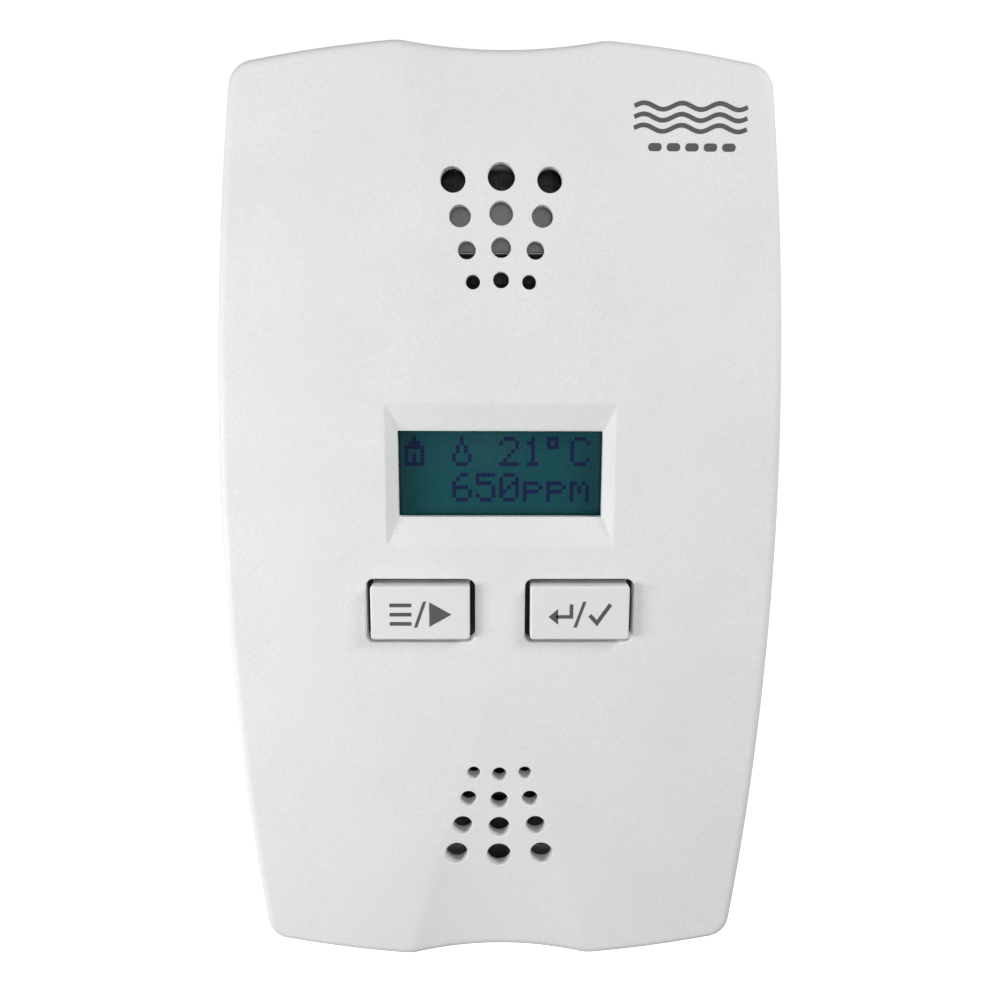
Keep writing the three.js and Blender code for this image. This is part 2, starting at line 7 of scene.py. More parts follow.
from itertools import product
from math import atan2, cos, pi, radians, sin, sqrt
from types import SimpleNamespace as Sizes

import bmesh
import bpy
import numpy as np
from mathutils import Matrix, Vector, geometry

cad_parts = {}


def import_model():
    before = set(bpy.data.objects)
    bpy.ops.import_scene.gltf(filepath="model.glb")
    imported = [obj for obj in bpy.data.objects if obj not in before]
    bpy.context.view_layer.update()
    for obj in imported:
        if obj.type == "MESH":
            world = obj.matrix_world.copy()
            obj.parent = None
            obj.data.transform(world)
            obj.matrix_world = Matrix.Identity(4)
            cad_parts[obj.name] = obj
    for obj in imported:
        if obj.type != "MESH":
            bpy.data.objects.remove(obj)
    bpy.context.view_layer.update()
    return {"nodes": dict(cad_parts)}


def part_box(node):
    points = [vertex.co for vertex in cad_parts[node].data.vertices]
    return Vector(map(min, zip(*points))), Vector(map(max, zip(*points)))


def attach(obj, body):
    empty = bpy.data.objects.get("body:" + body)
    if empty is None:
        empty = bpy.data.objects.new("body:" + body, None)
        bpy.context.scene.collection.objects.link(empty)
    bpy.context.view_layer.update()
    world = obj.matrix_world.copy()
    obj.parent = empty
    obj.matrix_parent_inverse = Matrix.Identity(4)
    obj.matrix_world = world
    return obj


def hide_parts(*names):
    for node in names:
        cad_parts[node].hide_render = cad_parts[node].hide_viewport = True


MM = 0.001

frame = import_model()


def span(node):
    """Lowest and highest corner of a CAD node, in millimetres."""
    low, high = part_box(node)
    return low / MM, high / MM


def middle(node):
    low, high = span(node)
    return (low + high) / 2


# ---- driving dimensions ----

# Outline of the cover, seen from the front
HALF_WIDTH = 42
SIDE_BOW = 0.00098
HALF_HEIGHT = 70.9
END_BOW = 0.00277
CORNER_RADIUS = 4
SCALLOP_HALF = 14.2
SCALLOP_DEPTH = 1.5
SCALLOP_BLEND = 0.16

# Depths
FACE_Y = -31.0
REAR_Y = span("front_cover")[1].y
INNER_Y = FACE_Y + 3
SIDE_WALL = 2.5
EDGE_RADIUS = 1.4
CROWN = (0.4, 0.2)  # how far the face falls back at its sides and at its ends

# Channels
CHANNEL_APEX = 28
CHANNEL_RADIUS = 78
CHANNEL_LENGTH = 41
CHANNEL_POWER = 0.69
CHANNEL_BLEND = 0.12

# Vent rows, from the outermost one inwards: the height and radius of the middle hole, and of the
# hole on either side, how far aside and how much lower it is, and its radius
VENT_ROWS = [
    (52.26, 1.95, 6.84, 0.47, 1.8),
    (47.28, 1.7, 5.85, 0.43, 1.55),
    (42.56, 1.43, 4.9, 0.39, 1.28),
    (38.06, 1.15, 4.04, 0.31, 1.03),
]
VENT_FILLET = 0.12

# Display window, its surround and the pocket behind it
WINDOW = Sizes(z=9.8, width=30.6, height=13.0)
SURROUND = Sizes(z=9.7, width=34.1, height=21.4, depth=1.2)
POCKET = Sizes(width=39.2, height=25.2, y=INNER_Y - 0.6)

# Buttons
BUTTON_X = middle("right_switch_body").x
BUTTON_Z = middle("right_switch_body").z
OPENING = Sizes(width=16.6, height=10.0, radius=1.2)
KEYCAP_FRONT = span("right_keycap")[0].y
KEYCAP = Sizes(width=15.0, height=8.4, wall=1.2, skin=1.5, edge=0.28)
FLANGE = Sizes(width=18.2, height=11.8, front=INNER_Y + 0.15, rear=INNER_Y + 1.35)
GUIDE = Sizes(clearance=0.35, wall=1.0, depth=2.6)

# Fixings of the cover
POSTS = [(sx * 27, sz * 52) for sx in (1, -1) for sz in (1, -1)]
HOOK = Sizes(x=22, half=4, front=-5, rear=-3.8, root=59.5, top=69, clearance=0.7)
CATCH = Sizes(x=22, half=3.5, front=-2.8, rear=-1.6, tip=-66.9, root=-64.3)

# Wall plate: how far its sides, top and bottom stay inside the cover's outline, and its depths
PLATE_INSETS = (3.2, 4.8, 3.2)
PLATE_FLOOR = -2.4
PLATE_RIM_Y = -4.0
PLATE_RIM = 1.5
BOX_SCREW_Z = 41.65
WIRING = Sizes(z=21, width=36, height=26)
RIB_X = 21


# ---- shape functions ----

CIRCLE_STEPS = 40


def blended(value, half_band):
    """The positive part of value, with its corner rounded off between -half_band and half_band."""
    if value <= -half_band:
        return 0.0
    if value >= half_band:
        return value
    return (value + half_band) ** 2 / (4 * half_band)


def scallop(x):
    return blended(SCALLOP_DEPTH * (1 - (x / SCALLOP_HALF) ** 2), SCALLOP_BLEND)


def face_y(x, z):
    """Depth of the front surface."""
    along = abs(z) - CHANNEL_APEX
    if along > 0:
        half = SCALLOP_HALF * (along / CHANNEL_LENGTH) ** CHANNEL_POWER
        scoop = half**2 / (2 * CHANNEL_RADIUS)
    else:
        scoop = 0.02 * along
    channel = blended(scoop - x**2 / (2 * CHANNEL_RADIUS), CHANNEL_BLEND)
    crown = CROWN[0] * (x / HALF_WIDTH) ** 2 + CROWN[1] * (z / HALF_HEIGHT) ** 2
    return FACE_Y + crown + channel


def below_face(down):
    """The depth that lies down behind the front surface."""
    return lambda x, z: face_y(x, z) + down


def quarter_outline(side, end, radius):
    """Points from the middle of the side to the middle of the end, moved in by side and end."""

    def side_x(z):
        return HALF_WIDTH - side - SIDE_BOW * z * z

    def end_z(x):
        return HALF_HEIGHT - end - END_BOW * x * x - scallop(x)

    x, z = HALF_WIDTH, HALF_HEIGHT
    for _ in range(12):
        x, z = side_x(z), end_z(x)
    side_normal = Vector((1, 2 * SIDE_BOW * z)).normalized()
    end_normal = Vector((2 * END_BOW * x, 1)).normalized()
    pull = radius / (1 + side_normal.dot(end_normal))
    centre = Vector((x, z)) - (side_normal + end_normal) * pull
    first = atan2(side_normal.y, side_normal.x)
    last = atan2(end_normal.y, end_normal.x)
    side_steps, arc_steps, end_steps, scallop_steps = 60, 10, 26, 24
    turns = [first + (last - first) * i / arc_steps for i in range(arc_steps + 1)]
    arc = [(centre.x + radius * cos(t), centre.y + radius * sin(t)) for t in turns]
    (_, arc_bottom), (arc_inner, _) = arc[0], arc[-1]
    side_zs = [arc_bottom * i / side_steps for i in range(side_steps)]
    run = SCALLOP_HALF - arc_inner
    end_xs = [arc_inner + run * i / end_steps for i in range(1, end_steps)]
    end_xs += [SCALLOP_HALF * (1 - i / scallop_steps) for i in range(scallop_steps + 1)]
    return [(side_x(z), z) for z in side_zs] + arc + [(x, end_z(x)) for x in end_xs]


def outline(side, top, bottom, radius):
    """The whole outline, counter-clockwise in X and Z."""
    upper = quarter_outline(side, top, radius)
    lower = quarter_outline(side, bottom, radius)
    left_top = [(-x, z) for x, z in reversed(upper)]
    left_bottom = [(-x, -z) for x, z in lower]
    right_bottom = [(x, -z) for x, z in reversed(lower)]
    return upper + left_top[1:] + left_bottom[1:] + right_bottom[1:-1]


def cover_outline(inset):
    return outline(inset, inset, inset, max(CORNER_RADIUS - inset, 0.6))


def rounded_rectangle(x, z, width, height, radius, across, up, corner):
    """Loop of points, counter-clockwise, with the same count for any size."""
    points = []
    for quarter in range(4):
        sx = 1 if quarter in (0, 3) else -1
        sz = 1 if quarter < 2 else -1
        cx = x + sx * (width / 2 - radius)
        cz = z + sz * (height / 2 - radius)
        for i in range(corner + 1):
            angle = (quarter + i / corner) * pi / 2
            points.append((cx + radius * cos(angle), cz + radius * sin(angle)))
        steps = across if quarter % 2 == 0 else up
        length = (width if quarter % 2 == 0 else height) - 2 * radius
        direction = [(-1, 0), (0, -1), (1, 0), (0, 1)][quarter]
        px, pz = points[-1]
        for i in range(1, steps):
            shift = length * i / steps
            points.append((px + direction[0] * shift, pz + direction[1] * shift))
    return points


def circle(x, z, radius):
    turns = [2 * pi * i / CIRCLE_STEPS for i in range(CIRCLE_STEPS)]
    return [(x + radius * cos(t), z + radius * sin(t)) for t in turns]


def inside(points, polygons):
    """For each of the points, whether it is inside the first polygon and outside the others."""
    px, pz = points[:, 0], points[:, 1]
    found = np.zeros(len(points), bool)
    for polygon in polygons:
        for (x0, z0), (x1, z1) in zip([polygon[-1], *polygon], polygon):
            if z0 != z1:
                crossing = (x1 - x0) * (pz - z0) / (z1 - z0) + x0
                found ^= ((z0 > pz) != (z1 > pz)) & (px < crossing)
    return found


# ---- mesh building ----


class Surface:
    """Points in millimetres and faces of one closed mesh: rings, and the sheets between them."""

    def __init__(self):
        self.points = []
        self.faces = []

    def ring(self, flat, depth):
        """Adds a loop of (x, z) points. depth is one y, or a function of x and z."""
        start = len(self.points)
        for x, z in flat:
            self.points.append((x, depth(x, z) if callable(depth) else depth, z))
        return list(range(start, len(self.points)))

    def bridge(self, *rings):
        for one, other in zip(rings, rings[1:]):
            for i in range(len(one)):
                j = (i + 1) % len(one)
                self.faces.append((one[i], one[j], other[j], other[i]))
        return rings[-1]

    def rings(self, start, steps):
        """Joins loops given as (points, depth) to the ring start, and returns the last one."""
        return self.bridge(start, *[self.ring(flat, depth) for flat, depth in steps])

    def cap(self, ring):
        self.faces.append(tuple(ring))

    def sheet(self, outer, holes, depth, spacing):
        """Fills between the ring outer and the rings holes with a fine mesh that follows depth."""
        loops = [outer, *holes]
        flat = [[(self.points[i][0], self.points[i][2]) for i in loop] for loop in loops]
        edge_ids = [i for loop in loops for i in loop]
        border = [point for loop in flat for point in loop]
        edges, first = [], 0
        for loop in loops:
            count = len(loop)
            edges += [(first + i, first + (i + 1) % count) for i in range(count)]
            first += count
        xs, zs = zip(*flat[0])
        left, low = min(xs), min(zs)
        rows = range(int((max(zs) - low) / (spacing * sqrt(3) / 2)) + 1)
        columns = range(int((max(xs) - left) / spacing) + 2)
        lattice = np.array(
            [
                (left + (c + 0.5 * (r % 2)) * spacing, low + r * spacing * sqrt(3) / 2)
                for r, c in product(rows, columns)
            ]
        )
        lattice = lattice[inside(lattice, flat)]
        near = np.full(len(lattice), np.inf)
        for x, z in border:
            np.minimum(near, (lattice[:, 0] - x) ** 2 + (lattice[:, 1] - z) ** 2, out=near)
        lattice = lattice[near > (0.55 * spacing) ** 2]
        ids = edge_ids + self.ring(lattice, depth)
        flat_points = [Vector(point) for point in (*border, *lattice)]
        made = geometry.delaunay_2d_cdt(flat_points, edges, [], 0, 1e-6)
        places, triangles, origins = made[0], made[2], made[3]
        known = [ids[source[0]] if source else None for source in origins]
        centres = np.array([[places[k][:] for k in face] for face in triangles]).mean(axis=1)
        for face, wanted in zip(triangles, inside(centres, flat)):
            if wanted:
                self.faces.append(tuple(known[k] for k in face))

    def piece(self, name, angle=30):
        """An object of this shape."""
        built = bmesh.new()
        for point in self.points:
            built.verts.new(Vector(point) * MM)
        built.verts.ensure_lookup_table()
        for face in self.faces:
            built.faces.new([built.verts[i] for i in face])
        return new_piece(name, built, angle)


def shaded(built, name, angle):
    """A bmesh as a mesh, faces outwards, smooth except across edges sharper than angle."""
    loose = [v for v in built.verts if not v.link_faces]
    bmesh.ops.delete(built, geom=loose, context="VERTS")
    bmesh.ops.recalc_face_normals(built, faces=built.faces)
    mesh = bpy.data.meshes.new(name)
    built.to_mesh(mesh)
    built.free()
    mesh.shade_smooth()
    mesh.set_sharp_from_angle(angle=radians(angle))
    return mesh


def new_piece(name, built, angle=30):
    """An object made of a bmesh."""
    made = bpy.data.objects.new(name, shaded(built, name, angle))
    bpy.context.scene.collection.objects.link(made)
    return made


def applied(piece, angle=30):
    """Applies the piece's modifiers, and shades the result."""
    bpy.context.view_layer.update()
    graph = bpy.context.evaluated_depsgraph_get()
    built = bmesh.new()
    built.from_mesh(bpy.data.meshes.new_from_object(piece.evaluated_get(graph)))
    piece.modifiers.clear()
    piece.data = shaded(built, piece.name, angle)
    return piece


def combined(piece, tool, operation, angle=30):
    """Joins the closed mesh tool to the piece, or cuts it out, and removes the tool."""
    step = piece.modifiers.new("combine", "BOOLEAN")
    step.object = tool
    step.operation = operation
    step.solver = "MANIFOLD"
    applied(piece, angle)
    bpy.data.objects.remove(tool)
    return piece


# The faces of a block, as the numbers of its corners, counted along x, then y, then z
BLOCK_FACES = (
    (0, 1, 3, 2),
    (4, 6, 7, 5),
    (0, 4, 5, 1),
    (2, 3, 7, 6),
    (0, 2, 6, 4),
    (1, 5, 7, 3),
)


def boxes(name, extents):
    """One object holding a closed block for each (x0, x1, y0, y1, z0, z1)."""
    built = bmesh.new()
    for x0, x1, y0, y1, z0, z1 in extents:
        places = product((x0, x1), (y0, y1), (z0, z1))
        corners = [built.verts.new(Vector(place) * MM) for place in places]
        for face in BLOCK_FACES:
            built.faces.new([corners[i] for i in face])
    return new_piece(name, built)


def mirrored(away, half, *rest):
    """Extents of a block half wide to either side of x = away, and of its mirror image."""
    return [(x - half, x + half, *rest) for x in (-away, away)]


def bevelled(piece, width):
    """Rounds the piece's sharp edges by width millimetres."""
    step = piece.modifiers.new("bevel", "BEVEL")
    step.width = width * MM
    step.segments = 2
    step.limit_method = "ANGLE"
    step.angle_limit = radians(30)
    step.use_clamp_overlap = True
    return applied(piece)


def refined(node, width):
    """A copy of a CAD node's shape with flat faces merged and its edges rounded."""
    built = bmesh.new()
    built.from_mesh(frame["nodes"][node].data)
    bmesh.ops.remove_doubles(built, verts=built.verts, dist=0.002 * MM)
    bmesh.ops.dissolve_limit(built, angle_limit=radians(1), verts=built.verts, edges=built.edges)
    return bevelled(new_piece(node + "_part", built), width)


def turned(name, centre, profile, segments=64, upright=False):
    """A turned piece. profile is (radius, position along the axis) from axis to axis.

    The axis lies along Y through centre (x, z), or, where upright is set, along Z through (x, y).
    """
    built = bmesh.new()

    def place(across, other, along):
        first, second = centre[0] + across, centre[1] + other
        point = (first, second, along) if upright else (first, along, second)
        return built.verts.new(Vector(point) * MM)

    loops = []
    for radius, along in profile:
        if radius == 0:
            loops.append([place(0, 0, along)])
        else:
            turns = [2 * pi * i / segments for i in range(segments)]
            loops.append([place(radius * cos(t), radius * sin(t), along) for t in turns])
    for one, other in zip(loops, loops[1:]):
        for i in range(segments):
            j = (i + 1) % segments
            if len(one) == 1:
                built.faces.new((one[0], other[i], other[j]))
            elif len(other) == 1:
                built.faces.new((one[i], other[0], one[j]))
            else:
                built.faces.new((one[i], one[j], other[j], other[i]))
    return new_piece(name, built, 35)


def prisms(name, polygons, front, rear):
    """One object of thin flat shapes, each a polygon of (x, z) points, from front to rear."""
    surface = Surface()
    for polygon in polygons:
        near = surface.ring(polygon, front)
        far = surface.ring(polygon, rear)
        surface.bridge(near, far)
        surface.cap(near)
        surface.cap(far)
    return surface.piece(name)


def stroke(points, width):
    """Outline of a line of the given width through the points."""
    left, right = [], []
    count = len(points)
    for i, (x, z) in enumerate(points):
        before = points[max(i - 1, 0)]
        after = points[min(i + 1, count - 1)]
        one = Vector((x - before[0], z - before[1]))
        two = Vector((after[0] - x, after[1] - z))
        one = one.normalized() if one.length else two.normalized()
        two = two.normalized() if two.length else one
        side = Vector((-(one + two).y, (one + two).x)).normalized()
        reach = width / 2 / max(side.dot(Vector((-one.y, one.x))), 0.4)
        left.append((x + side.x * reach, z + side.y * reach))
        right.append((x - side.x * reach, z - side.y * reach))
    return left + right[::-1]


def fillet(radius, steps=5):
    """Steps of a quarter round, as (how far out, how far down): level at first, upright at last."""
    turns = [pi / 2 * i / steps for i in range(steps + 1)]
    return [(radius * (1 - sin(t)), radius * (1 - cos(t))) for t in turns]


# ---- materials ----


class Finish:
    """A procedural material: a Principled shader and the noise nodes that feed it."""

    def __init__(self, name):
        self.material = bpy.data.materials.new(name)
        self.material.use_nodes = True
        self.nodes = self.material.node_tree.nodes
        self.shader = self.nodes["Principled BSDF"]
        self.place = self.nodes.new("ShaderNodeTexCoord").outputs["Object"]

    def fill(self, socket, value):
        """Links an output to the socket, or gives it a value. Three numbers are a colour."""
        if isinstance(value, bpy.types.NodeSocket):
            self.material.node_tree.links.new(value, socket)
        else:
            socket.default_value = (*value, 1) if isinstance(value, tuple) else value

    def set(self, node=None, **values):
        """Fills sockets of a node, or of the shader, by name, with _ for a space."""
        for key, value in values.items():
            self.fill((node or self.shader).inputs[key.replace("_", " ")], value)

    def add(self, kind, **values):
        """A new node with those sockets filled."""
        made = self.nodes.new("ShaderNode" + kind)
        self.set(made, **values)
        return made

    def math(self, operation, *values):
        made = self.add("Math")
        made.operation = operation
        for socket, value in zip(made.inputs, values):
            self.fill(socket, value)
        return made.outputs[0]

    def noise(self, size, detail, stretch=(1, 1, 1)):
        """Noise with features about size millimetres across, drawn out along an axis by stretch."""
        mapping = self.add("Mapping", Vector=self.place, Scale=[1 / s for s in stretch])
        texture = self.add("TexNoise", Scale=1 / (size * MM), Detail=detail)
        self.set(texture, Vector=mapping.outputs["Vector"])
        return texture.outputs["Fac"]

    def ramp(self, factor, *stops):
        """Two colours along the factor, each as (position, colour)."""
        ramp = self.add("ValToRGB", Fac=factor)
        for element, (position, colour) in zip(ramp.color_ramp.elements, stops):
            element.position = position
            element.color = (*colour, 1)
        return ramp.outputs["Color"]

    def mix(self, factor, one, other):
        mix = self.add("Mix", Factor=factor)
        mix.data_type = "RGBA"
        self.fill(mix.inputs[6], one)
        self.fill(mix.inputs[7], other)
        return mix.outputs[2]

    def spread(self, factor, low, high):
        """The factor's middle range turned into values from low to high."""
        ends = {"From_Min": 0.3, "From_Max": 0.7, "To_Min": low, "To_Max": high}
        return self.add("MapRange", Value=factor, **ends).outputs["Result"]

    def bump(self, height, distance):
        """Relief that is distance millimetres high."""
        bump = self.add("Bump", Height=height, Distance=distance * MM)
        self.set(Normal=bump.outputs["Normal"])


def shade(colour, factor):
    return tuple(min(1.0, c * factor) for c in colour)


def moulded(name, colour, roughness, grain, relief, mottle, coat=0.0):
    """Moulded plastic: a spark texture, slow colour drift and a little variation in gloss."""
    finish = Finish(name)
    fine = finish.noise(grain, 2.0)
    slow = finish.noise(grain * 45, 4.0)
    drift = finish.ramp(slow, (0.35, shade(colour, 1 - mottle)), (0.65, shade(colour, 1 + mottle)))
    dark, light = shade(colour, 1 - 2 * mottle), shade(colour, 1 + 1.6 * mottle)
    speck = finish.ramp(fine, (0.4, dark), (0.6, light))
    tone = finish.mix(finish.spread(slow, 0.4, 0.6), drift, speck)
    finish.set(Base_Color=tone, Roughness=finish.spread(fine, *roughness), Coat_Weight=coat)
    finish.bump(fine, relief)
    return finish


def metal(name, colour, size, roughness, along=(1, 1, 1)):
    """Bare metal with fine drawn marks along the stretched axis."""
    finish = Finish(name)
    marks = finish.noise(size, 5.0, along)
    tone = finish.ramp(marks, (0.3, shade(colour, 0.82)), (0.7, shade(colour, 1.1)))
    finish.set(Base_Color=tone, Roughness=finish.spread(marks, *roughness), Metallic=1.0)
    finish.bump(marks, 0.004)
    return finish


def solder_mask(name, colour, copper):
    """Circuit board: glossy mask over a raised pattern of tracks."""
    finish = Finish(name)
    cells = finish.add("TexVoronoi", Vector=finish.place, Scale=1 / (3.4 * MM), Randomness=0.75)
    cells.distance = "CHEBYCHEV"
    cells.feature = "F2"
    tracks = finish.math("PINGPONG", cells.outputs["Distance"], 0.09)
    line = finish.add("MapRange", Value=tracks, From_Min=0.03, From_Max=0.05).outputs["Result"]
    gloss = finish.spread(finish.noise(6, 3.0), 0.28, 0.42)
    finish.set(Base_Color=finish.mix(line, colour, copper), Roughness=gloss)
    finish.bump(line, 0.03)
    return finish


def display_glass(name, colour, edge_shade_colour, centre, half_width, half_height):
    """Backlit teal glass with painted shade that darkens it towards its edges."""
    finish = Finish(name)
    split = finish.add("SeparateXYZ", Vector=finish.place)

    def edge(axis, at, half):
        """Mask of the painted edge shade: 0 in the middle and 1 at the edge, along one axis."""
        ends = {"From_Min": (at - half) * MM, "From_Max": (at + half) * MM, "To_Min": -1.0}
        scaled = finish.add("MapRange", Value=split.outputs[axis], **ends)
        return finish.math("POWER", scaled.outputs["Result"], 12.0)

    across, up = edge("X", centre[0], half_width), edge("Z", centre[1], half_height)
    cloud = finish.noise(0.25, 2.0)
    tone = finish.ramp(cloud, (0.3, shade(colour, 0.9)), (0.7, shade(colour, 1.1)))
    # Painted shade: the glass colour darkens towards the window's walls
    painted = finish.mix(finish.math("MAXIMUM", across, up), tone, edge_shade_colour)
    finish.set(Base_Color=painted, Emission_Color=painted, Emission_Strength=0.25)
    finish.set(Roughness=finish.spread(cloud, 0.24, 0.3), Specular_IOR_Level=0.3)
    return finish


# Moulded plastics: colour, roughness from and to, size of the grain, relief, mottle, coat
MOULDINGS = {
    "housing_plastic": ((0.81, 0.818, 0.812), (0.5, 0.66), 0.27, 0.05, 0.03),
    "keycap_plastic": ((0.81, 0.81, 0.818), (0.42, 0.5), 0.3, 0.003, 0.01),
    "plate_plastic": ((0.72, 0.73, 0.715), (0.5, 0.66), 0.35, 0.014, 0.03),
    "diffuser_plastic": ((0.55, 0.66, 0.6), (0.3, 0.4), 0.4, 0.004, 0.03),
    "black_plastic": ((0.018, 0.018, 0.019), (0.4, 0.6), 0.25, 0.008, 0.12),
    "grey_plastic": ((0.38, 0.39, 0.38), (0.45, 0.6), 0.3, 0.006, 0.05),
    # Lighter copy of grey_plastic for the CO2 lamp: painted light, making up for its shade behind
    # the vents
    "lamp_housing": ((0.6, 0.61, 0.6), (0.45, 0.6), 0.3, 0.006, 0.05),
    "white_plastic": ((0.74, 0.74, 0.70), (0.45, 0.6), 0.3, 0.008, 0.03),
    "relay_plastic": ((0.02, 0.085, 0.3), (0.25, 0.35), 0.4, 0.005, 0.03, 0.2),
    "ferrite": ((0.035, 0.035, 0.04), (0.6, 0.85), 0.2, 0.03, 0.15),
    "terminal_plastic": ((0.03, 0.26, 0.09), (0.35, 0.5), 0.35, 0.008, 0.03),
    # Black of the keycap flanges: painted shade for the gap around each cap
    "key_skirt": ((0.02, 0.02, 0.022), (0.55, 0.7), 0.3, 0.008, 0.2),
    "ink": ((0.105, 0.104, 0.098), (0.4, 0.55), 0.2, 0.004, 0.06),
    "display_dots": ((0.002, 0.005, 0.06), (0.35, 0.45), 0.3, 0.001, 0.1),
}
# Metals: colour, size of the marks, roughness from and to, how far the marks run along each axis
METALS = {
    "screw_steel": ((0.62, 0.62, 0.6), 0.3, (0.25, 0.45)),
    "bezel_steel": ((0.55, 0.56, 0.57), 0.2, (0.25, 0.45), (12, 1, 1)),
    "capacitor_aluminium": ((0.68, 0.69, 0.7), 0.2, (0.2, 0.34), (1, 14, 1)),
    "terminal_brass": ((0.72, 0.53, 0.26), 0.2, (0.25, 0.4)),
    "solder": ((0.66, 0.67, 0.68), 0.3, (0.15, 0.3)),
}
# Circuit boards: colour of the mask, and of the mask over copper
BOARDS = {
    "dark_board": ((0.042, 0.044, 0.046), (0.07, 0.074, 0.076)),
    "green_board": ((0.012, 0.075, 0.03), (0.03, 0.14, 0.06)),
}
# Teal of the glass, darker colour of the painted shade at its edges, middle of the window, and the
# half width and half height over which that shade rises to full
GLASS = ((0.006, 0.055, 0.064), (0.003, 0.016, 0.02), (0, WINDOW.z), 15.9, 7.2)

FINISHES = {"lcd_glass": display_glass("lcd_glass", *GLASS)}
for make, table in ((moulded, MOULDINGS), (metal, METALS), (solder_mask, BOARDS)):
    FINISHES |= {name: make(name, *values) for name, values in table.items()}


def finished(piece, finish, *nodes, body="front"):
    """Gives the piece its material and its CAD body, and hides the CAD nodes that it stands for."""
    piece.data.materials.clear()
    piece.data.materials.append(FINISHES[finish].material)
    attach(piece, body)
    if nodes:
        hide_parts(*nodes)
    return piece


# ---- front cover ----

# Each opening's function returns its loops in the face and in the inner wall


def vent_holes():
    """Every vent hole, as (x, z, radius)."""
    holes = []
    for end in (1, -1):
        for height, radius, aside, drop, side_radius in VENT_ROWS:
            holes.append((0, end * height, radius))
            holes += [(side * aside, end * (height - drop), side_radius) for side in (1, -1)]
    return holes


def vent_bore(surface, x, z, radius):
    """Rim and bore of one vent hole."""
    outer = surface.ring(circle(x, z, radius + VENT_FILLET + 0.2), face_y)
    rim = [(circle(x, z, radius + out), below_face(down)) for out, down in fillet(VENT_FILLET)]
    bore = [(circle(x, z, radius), INNER_Y - 0.2), (circle(x, z, radius + 0.2), INNER_Y)]
    return outer, surface.rings(outer, rim + bore)


def key_opening(surface, x):
    """One button opening with the guide frame behind it."""

    def loop(width, height, radius):
        return rounded_rectangle(x, BUTTON_Z, width, height, radius, 20, 12, 6)

    width, height, radius = OPENING.width, OPENING.height, OPENING.radius
    outer = surface.ring(loop(width + 0.9, height + 0.9, radius + 0.45), face_y)
    steps = []
    for out, down in fillet(0.22, 3):
        flat = loop(width + 2 * out, height + 2 * out, radius + out)
        steps.append((flat, below_face(down)))
    wall, top = GUIDE.wall, INNER_Y + GUIDE.depth

    def guide(grow, corner):
        grown = 2 * (GUIDE.clearance + grow)
        return loop(FLANGE.width + grown, FLANGE.height + grown, corner)

    steps += [
        (loop(width, height, radius), INNER_Y),
        (guide(0, 0.6), INNER_Y),
        (guide(0, 0.6), top - 0.15),
        (guide(0.15, 0.7), top),
        (guide(wall - 0.15, 1.3), top),
        (guide(wall, 1.4), top - 0.15),
        (guide(wall, 1.4), INNER_Y + 0.3),
        (guide(wall + 0.3, 1.7), INNER_Y),
    ]
    return outer, surface.rings(outer, steps)


def display_window(surface):
    """Bevelled surround, window and the pocket behind it, for the display."""
    top = WINDOW.z + WINDOW.height / 2
    bottom = WINDOW.z - WINDOW.height / 2
    outer_top = SURROUND.z + SURROUND.height / 2
    outer_bottom = SURROUND.z - SURROUND.height / 2

    def loop(share, radius, grow=0.0):
        """Between the window, at share 0, and the surround's outer edge, at share 1."""
        high = top + (outer_top - top) * share + grow
        low = bottom + (outer_bottom - bottom) * share - grow
        width = WINDOW.width + (SURROUND.width - WINDOW.width) * share + 2 * grow
        return rounded_rectangle(0, (high + low) / 2, width, high - low, radius, 40, 24, 4)

    floor = FACE_Y + SURROUND.depth

    def sunk(share):
        """Depth at that share of the way up the bevel."""
        return lambda px, pz: floor + (face_y(px, pz) - floor) * share

    outer = surface.ring(loop(1, 0.6, 0.5), face_y)
    steps = [
        (loop(1, 0.5, 0.14), face_y),
        (loop(1, 0.45), below_face(0.015)),
        (loop(0.94, 0.42), sunk(0.93)),
        (loop(0.85, 0.4), sunk(0.84)),
        (loop(0.5, 0.3), sunk(0.5)),
        (loop(0.12, 0.25), sunk(0.12)),
        (loop(0.04, 0.22), sunk(0.05)),
        (loop(0, 0.2), floor + 0.06),
        (loop(0, 0.2), floor + 0.3),
        (loop(0, 0.2), POCKET.y),
    ]
    pocket = rounded_rectangle(0, WINDOW.z, POCKET.width, POCKET.height, 0.5, 40, 24, 4)
    steps += [(pocket, POCKET.y), (pocket, INNER_Y)]
    return outer, surface.rings(outer, steps)


def screw_post(surface, x, z):
    """A post with a pilot hole. Returns its loop in the inner wall."""
    rear = span("main_board")[0].y
    foot = surface.ring(circle(x, z, 3.4), INNER_Y)
    steps = [
        (3.1, INNER_Y + 0.1),
        (3, INNER_Y + 0.4),
        (3, rear - 0.15),
        (2.85, rear),
        (1.5, rear),
        (1.35, rear - 0.15),
        (1.35, rear - 7),
    ]
    surface.cap(surface.rings(foot, [(circle(x, z, radius), y) for radius, y in steps]))
    return foot


